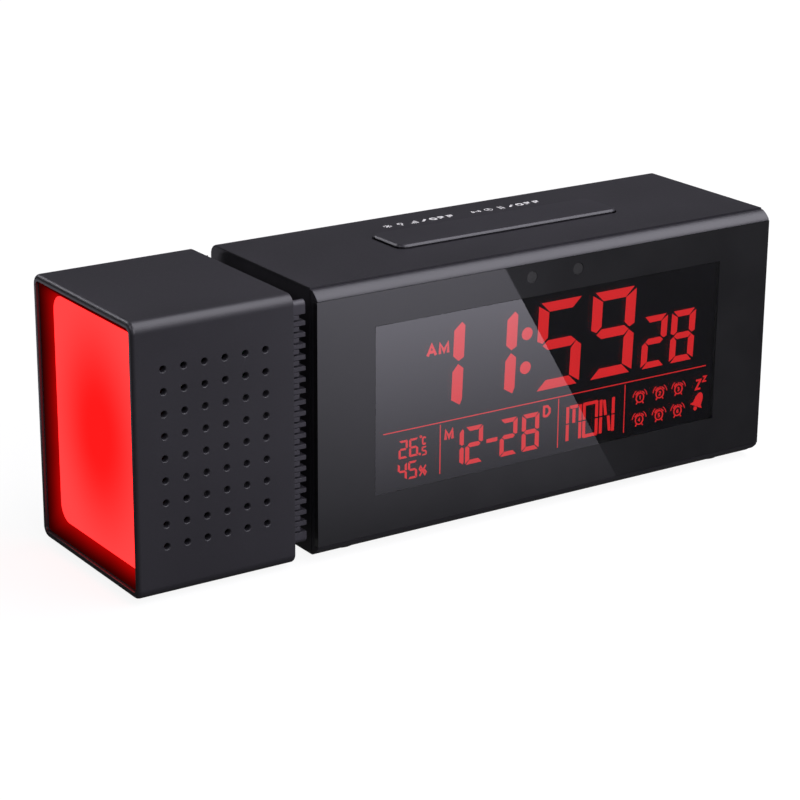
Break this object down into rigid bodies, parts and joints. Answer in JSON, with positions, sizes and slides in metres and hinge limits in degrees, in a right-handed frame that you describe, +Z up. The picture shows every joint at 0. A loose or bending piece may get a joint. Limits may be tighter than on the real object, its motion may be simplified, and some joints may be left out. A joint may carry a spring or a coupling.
{
  "type": "projection alarm clock",
  "caption": "Bar-shaped bedside clock with a wide red segment display, a rocking top bar and a swivel head with night light, loudspeaker grille and ceiling projector.",
  "frame": {"origin": "under the middle of the bar, on the surface that the feet stand on", "axes": "+X along the bar from the swivel head towards the plain end, -Y out of the display, +Z up"},
  "size_m": [0.1744, 0.0466, 0.0644],
  "materials": {
    "case_plastic": "fine spark-eroded texture, satin black",
    "frame_plastic": "smooth satin black",
    "collar_plastic": "moulded ribs, satin black",
    "panel_plastic": "satin black with a clear coat",
    "tinted_window": "polished, lightly smoked",
    "sensor_tint": "polished dark tint",
    "sensor_metal": "drawn can",
    "display_glass": "polished glass with a black mask",
    "display_red": "lit red figures",
    "light_plate": "clear acrylic with a dotted back",
    "lamp_parts": "lamp packages on white board",
    "white_plastic": "natural white moulding",
    "contact_rubber": "layered silicone",
    "board_green": "solder mask on glass fibre",
    "component_black": "moulded black",
    "switch_parts": "black actuators on steel covers",
    "screw_steel": "zinc plated",
    "screw_black": "black zinc",
    "port_metal": "nickel plated sheet",
    "cell_metal": "plain coin cell can",
    "key_plastic": "smooth satin black",
    "bar_plastic": "smooth satin black",
    "foot_rubber": "soft, matt",
    "washer_brass": "spring brass",
    "wire_jacket": "sleeved wires",
    "bezel_plastic": "satin black",
    "lamp_milk": "milky acrylic, lit red",
    "speaker_metal": "stamped steel",
    "cone_paper": "pressed pulp cone",
    "magnet_metal": "ferrite with a zinc plate",
    "mesh_cloth": "fine black mesh",
    "tube_black": "matt black inside and out",
    "ring_plastic": "knurled satin black",
    "lens_clear": "polished, coated",
    "slide_glass": "small display glass"
  },
  "bodies": {
    "case": {"case_body": "case_plastic", "front_frame": "frame_plastic", "front_panel": "panel_plastic", "display_lens": "tinted_window", "sensor_windows": "sensor_tint", "sensor_capsules": "sensor_metal", "lcd_glass": "display_glass", "lcd_segments": "display_red", "backlight_plate": "light_plate", "backlight_leds": "lamp_parts", "lcd_holder": "white_plastic", "contact_strip": "contact_rubber", "main_board": "board_green", "board_parts": "component_black", "small_screws": "screw_steel", "rear_cover": "case_plastic", "case_screws": "screw_black", "key_board": "board_green", "tact_switches": "switch_parts", "power_board": "board_green", "power_socket": "component_black", "usb_socket": "port_metal", "climate_sensor": "board_green", "coin_cell": "cell_metal", "cell_holder": "component_black", "rocker_tray": "component_black", "rocker_board": "board_green", "rubber_feet": "foot_rubber", "swivel_bush": "white_plastic", "friction_washer": "washer_brass", "wire_harness": "wire_jacket"},
    "head": {"head_shell": "case_plastic", "neck_collar": "collar_plastic", "head_screws": "screw_steel", "swivel_retainer": "white_plastic", "lamp_bezel": "bezel_plastic", "lamp_diffuser": "lamp_milk", "lamp_guide": "light_plate", "lamp_reflector": "white_plastic", "lamp_leds": "lamp_parts", "speaker_basket": "speaker_metal", "speaker_cone": "cone_paper", "speaker_magnet": "magnet_metal", "grille_mesh": "mesh_cloth", "projector_tube": "tube_black", "projector_light": "lamp_parts", "condenser_lens": "lens_clear", "time_slide": "slide_glass", "head_board": "board_green"},
    "focus_ring": {"focus_ring": "ring_plastic"},
    "lens_barrel": {"lens_barrel": "tube_black", "projection_lens": "lens_clear"},
    "rocker_bar": {"rocker_bar": "bar_plastic"},
    "battery_door": {"battery_door": "case_plastic"},
    "key_set": {"key_set": "key_plastic"},
    "key_up": {"key_up": "key_plastic"},
    "key_down": {"key_down": "key_plastic"},
    "key_alarm": {"key_alarm": "key_plastic"},
    "key_radio": {"key_radio": "key_plastic"},
    "key_projector": {"key_projector": "key_plastic"}
  },
  "joints": [
    {"name": "head_swivel", "type": "hinge", "parent": "case", "child": "head", "pos_m": [-0.04765, 0, 0.03225], "axis": [1, 0, 0], "range_deg": [0, 180]},
    {"name": "focus_turn", "type": "hinge", "parent": "head", "child": "focus_ring", "pos_m": [-0.06615, 0.0203, 0.03225], "axis": [0, 1, 0], "range_deg": [0, 120]},
    {"name": "lens_travel", "type": "slide", "parent": "head", "child": "lens_barrel", "axis": [0, 1, 0], "range_m": [-0.0015, 0]},
    {"name": "bar_rock", "type": "hinge", "parent": "case", "child": "rocker_bar", "pos_m": [0.02335, 0.0011, 0.0596], "axis": [0, 1, 0], "range_deg": [-1, 1], "stiffness_Nm_per_rad": 1.5},
    {"name": "door_pull", "type": "slide", "parent": "case", "child": "battery_door", "axis": [0, 1, 0], "range_m": [0, 0.008]},
    {"name": "key_set_press", "type": "slide", "parent": "case", "child": "key_set", "axis": [0, -1, 0], "range_m": [0, 0.0006], "stiffness_N_per_m": 700},
    {"name": "key_up_press", "type": "slide", "parent": "case", "child": "key_up", "axis": [0, -1, 0], "range_m": [0, 0.0006], "stiffness_N_per_m": 700},
    {"name": "key_down_press", "type": "slide", "parent": "case", "child": "key_down", "axis": [0, -1, 0], "range_m": [0, 0.0006], "stiffness_N_per_m": 700},
    {"name": "key_alarm_press", "type": "slide", "parent": "case", "child": "key_alarm", "axis": [0, -1, 0], "range_m": [0, 0.0006], "stiffness_N_per_m": 700},
    {"name": "key_radio_press", "type": "slide", "parent": "case", "child": "key_radio", "axis": [0, -1, 0], "range_m": [0, 0.0006], "stiffness_N_per_m": 700},
    {"name": "key_projector_press", "type": "slide", "parent": "case", "child": "key_projector", "axis": [0, -1, 0], "range_m": [0, 0.0006], "stiffness_N_per_m": 700}
  ],
  "couplings": [
    {"joint": "focus_turn", "follows": "lens_travel", "rad_per_m": -1396}
  ]
}
